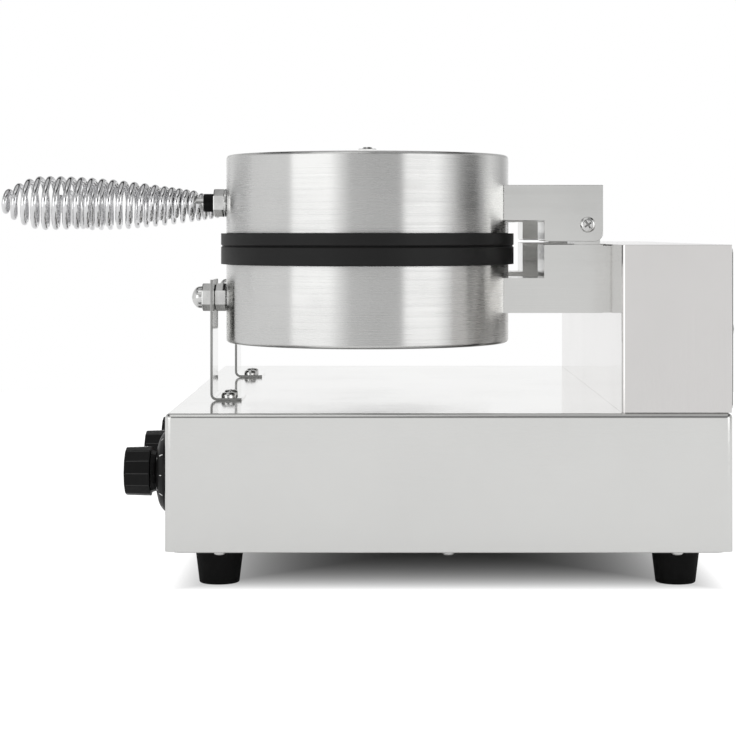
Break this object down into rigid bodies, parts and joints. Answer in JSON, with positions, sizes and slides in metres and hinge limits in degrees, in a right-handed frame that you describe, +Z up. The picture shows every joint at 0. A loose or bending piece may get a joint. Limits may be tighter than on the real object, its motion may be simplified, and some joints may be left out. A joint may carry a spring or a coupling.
{
  "type": "belgian waffle maker",
  "caption": "Countertop waffle maker with round hinged heads, wire-coil handles, sheet steel base with front knobs and rear column.",
  "frame": {"origin": "middle of the object's bounding box at the level of the feet", "axes": "+X to the operator's right, +Y to the back column, +Z up"},
  "size_m": [0.48, 0.513, 0.2934],
  "materials": {
    "case_steel": "smooth bright stainless sheet",
    "drum_steel": "brushed upright",
    "arm_steel": "brushed lengthwise",
    "coated_plate": "black non-stick coating, satin",
    "chrome_wire": "bright plating",
    "bright_fastener": "bright plating",
    "black_plastic": "satin moulded",
    "black_rubber": "matt",
    "heater_steel": "dull sheath",
    "fibre": "ceramic fibre",
    "lamp_red": "clear tinted",
    "rocker_red": "gloss",
    "control_case": "moulded"
  },
  "bodies": {
    "base": {"base_shell": "case_steel", "bottom_plate": "case_steel", "bottom_plate_screws": "bright_fastener", "feet": "black_rubber", "rear_housing": "case_steel", "rear_cover": "case_steel", "rear_cover_screws": "bright_fastener", "cord_gland": "black_plastic", "terminal_block": "control_case", "left_lower_drum": "drum_steel", "right_lower_drum": "drum_steel", "left_lower_plate": "coated_plate", "right_lower_plate": "coated_plate", "left_lower_arm": "arm_steel", "right_lower_arm": "arm_steel", "left_support_bracket": "case_steel", "right_support_bracket": "case_steel", "lower_elements": "heater_steel", "lower_insulation": "fibre", "bracket_screws": "bright_fastener", "support_bolts": "bright_fastener", "lock_nuts": "bright_fastener", "cap_nuts": "bright_fastener", "dials": "black_plastic", "thermostats": "control_case", "timers": "control_case", "switch_frames": "black_plastic", "lamps": "lamp_red"},
    "left_lid": {"left_upper_drum": "drum_steel", "left_upper_plate": "coated_plate", "left_upper_element": "heater_steel", "left_upper_insulation": "fibre", "left_upper_arm": "arm_steel", "left_hinge_pin": "bright_fastener", "left_hinge_screws": "bright_fastener", "left_top_fixing": "bright_fastener", "left_handle_stud": "bright_fastener", "left_handle_nut": "bright_fastener", "left_handle_sleeve": "black_plastic", "left_handle_coil": "chrome_wire"},
    "right_lid": {"right_upper_drum": "drum_steel", "right_upper_plate": "coated_plate", "right_upper_element": "heater_steel", "right_upper_insulation": "fibre", "right_upper_arm": "arm_steel", "right_hinge_pin": "bright_fastener", "right_hinge_screws": "bright_fastener", "right_top_fixing": "bright_fastener", "right_handle_stud": "bright_fastener", "right_handle_nut": "bright_fastener", "right_handle_sleeve": "black_plastic", "right_handle_coil": "chrome_wire"},
    "left_thermostat": {"left_thermostat_knob": "black_plastic"},
    "left_timer": {"left_timer_knob": "black_plastic"},
    "right_thermostat": {"right_thermostat_knob": "black_plastic"},
    "right_timer": {"right_timer_knob": "black_plastic"},
    "left_switch": {"left_rocker": "rocker_red"},
    "right_switch": {"right_rocker": "rocker_red"}
  },
  "joints": [
    {"name": "left_lid_hinge", "type": "hinge", "parent": "base", "child": "left_lid", "pos_m": [-0.115, 0.1568, 0.2382], "axis": [-1, 0, 0], "range_deg": [0, 95]},
    {"name": "right_lid_hinge", "type": "hinge", "parent": "base", "child": "right_lid", "pos_m": [0.115, 0.1568, 0.2382], "axis": [-1, 0, 0], "range_deg": [0, 95]},
    {"name": "left_thermostat_turn", "type": "hinge", "parent": "base", "child": "left_thermostat", "pos_m": [-0.173, -0.15, 0.07], "axis": [0, 1, 0], "range_deg": [0, 270]},
    {"name": "left_timer_turn", "type": "hinge", "parent": "base", "child": "left_timer", "pos_m": [-0.057, -0.15, 0.07], "axis": [0, 1, 0], "range_deg": [0, 300]},
    {"name": "right_thermostat_turn", "type": "hinge", "parent": "base", "child": "right_thermostat", "pos_m": [0.057, -0.15, 0.07], "axis": [0, 1, 0], "range_deg": [0, 270]},
    {"name": "right_timer_turn", "type": "hinge", "parent": "base", "child": "right_timer", "pos_m": [0.173, -0.15, 0.07], "axis": [0, 1, 0], "range_deg": [0, 300]},
    {"name": "left_switch_rock", "type": "hinge", "parent": "base", "child": "left_switch", "pos_m": [-0.115, -0.1233, 0.061], "axis": [1, 0, 0], "range_deg": [0, 12]},
    {"name": "right_switch_rock", "type": "hinge", "parent": "base", "child": "right_switch", "pos_m": [0.115, -0.1233, 0.061], "axis": [1, 0, 0], "range_deg": [0, 12]}
  ]
}
